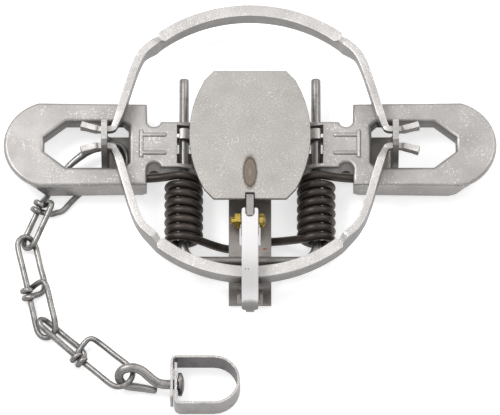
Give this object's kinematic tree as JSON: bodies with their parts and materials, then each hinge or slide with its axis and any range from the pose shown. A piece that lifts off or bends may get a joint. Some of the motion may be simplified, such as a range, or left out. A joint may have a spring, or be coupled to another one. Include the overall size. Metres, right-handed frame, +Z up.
{
  "type": "offset jaw trap",
  "caption": "Set double coil-spring foothold trap with offset bow jaws, pressed levers, pan and dog on a cross frame, and a wire-link chain with a swivel bracket.",
  "frame": {"origin": "middle of the base strip's underside, on the floor", "axes": "+X along the base strip towards the right-hand lever, +Y towards the rear jaw, +Z up from the floor"},
  "size_m": [0.244, 0.2135, 0.0326],
  "materials": {
    "bright_steel": "satin",
    "polished_steel": "polished",
    "frame_steel": "satin",
    "spring_steel": "satin",
    "chain_steel": "satin",
    "yellow_plated_steel": "polished"
  },
  "bodies": {
    "frame": {"base_frame": "frame_steel", "cross_frame": "frame_steel", "rivet_left": "frame_steel", "rivet_right": "frame_steel", "spring_rod": "chain_steel", "spring_left": "spring_steel", "spring_right": "spring_steel", "pan_bolt": "yellow_plated_steel", "pan_nut": "yellow_plated_steel"},
    "jaw_front": {"jaw_front": "bright_steel"},
    "jaw_rear": {"jaw_rear": "bright_steel"},
    "lever_left": {"lever_left": "bright_steel"},
    "lever_right": {"lever_right": "bright_steel"},
    "dog": {"dog": "polished_steel"},
    "pan": {"pan_plate": "bright_steel", "pan_arm": "bright_steel"},
    "connector": {"chain_connector": "chain_steel"},
    "link_1": {"chain_link_1": "chain_steel"},
    "link_2": {"chain_link_2": "chain_steel"},
    "eye": {"swivel_eye": "chain_steel"},
    "bracket": {"swivel_bracket": "bright_steel"}
  },
  "joints": [
    {"name": "front_jaw_close", "type": "hinge", "parent": "frame", "child": "jaw_front", "pos_m": [0, -0.0045, 0.0225], "axis": [-1, 0, 0], "range_deg": [0, 90.6]},
    {"name": "rear_jaw_close", "type": "hinge", "parent": "frame", "child": "jaw_rear", "pos_m": [0, 0.0045, 0.0225], "axis": [1, 0, 0], "range_deg": [0, 90.6]},
    {"name": "left_lever_lift", "type": "hinge", "parent": "frame", "child": "lever_left", "pos_m": [-0.0327, 0, 0.0103], "axis": [0, 1, 0], "range_deg": [0, 27.2], "deforming": ["spring_left"]},
    {"name": "right_lever_lift", "type": "hinge", "parent": "frame", "child": "lever_right", "pos_m": [0.0327, 0, 0.0103], "axis": [0, -1, 0], "range_deg": [0, 27.2], "deforming": ["spring_right"]},
    {"name": "dog_swing", "type": "hinge", "parent": "frame", "child": "dog", "pos_m": [0, -0.0845, 0.012], "axis": [1, 0, 0], "range_deg": [0, 165.82]},
    {"name": "pan_tilt", "type": "hinge", "parent": "frame", "child": "pan", "pos_m": [0, -0.041, 0.014], "axis": [-1, 0, 0], "range_deg": [0, 6]},
    {"name": "connector_swing", "type": "hinge", "parent": "frame", "child": "connector", "pos_m": [-0.072, 0.00208, 0.0076], "axis": [0, 0, 1], "range_deg": [-1.5, 0]},
    {"name": "link_1_swing", "type": "hinge", "parent": "connector", "child": "link_1", "pos_m": [-0.111, -0.05, 0.0038], "axis": [0, 0, 1], "range_deg": [-3, 0]},
    {"name": "link_2_swing", "type": "hinge", "parent": "link_1", "child": "link_2", "pos_m": [-0.1005, -0.0955, 0.0038], "axis": [0, 0, 1], "range_deg": [-3, 0]},
    {"name": "eye_swing", "type": "hinge", "parent": "link_2", "child": "eye", "pos_m": [-0.063, -0.1225, 0.00635], "axis": [0, 0, 1], "range_deg": [-3, 3]},
    {"name": "bracket_swivel", "type": "hinge", "parent": "eye", "child": "bracket", "pos_m": [-0.04, -0.126, 0.00635], "axis": [1, 0, 0], "continuous": true}
  ],
  "couplings": [
    {"joint": "rear_jaw_close", "follows": "front_jaw_close", "ratio": 1},
    {"joint": "left_lever_lift", "follows": "front_jaw_close", "ratio": 0.3},
    {"joint": "right_lever_lift", "follows": "front_jaw_close", "ratio": 0.3},
    {"joint": "dog_swing", "follows": "front_jaw_close", "ratio": 1.83}
  ]
}
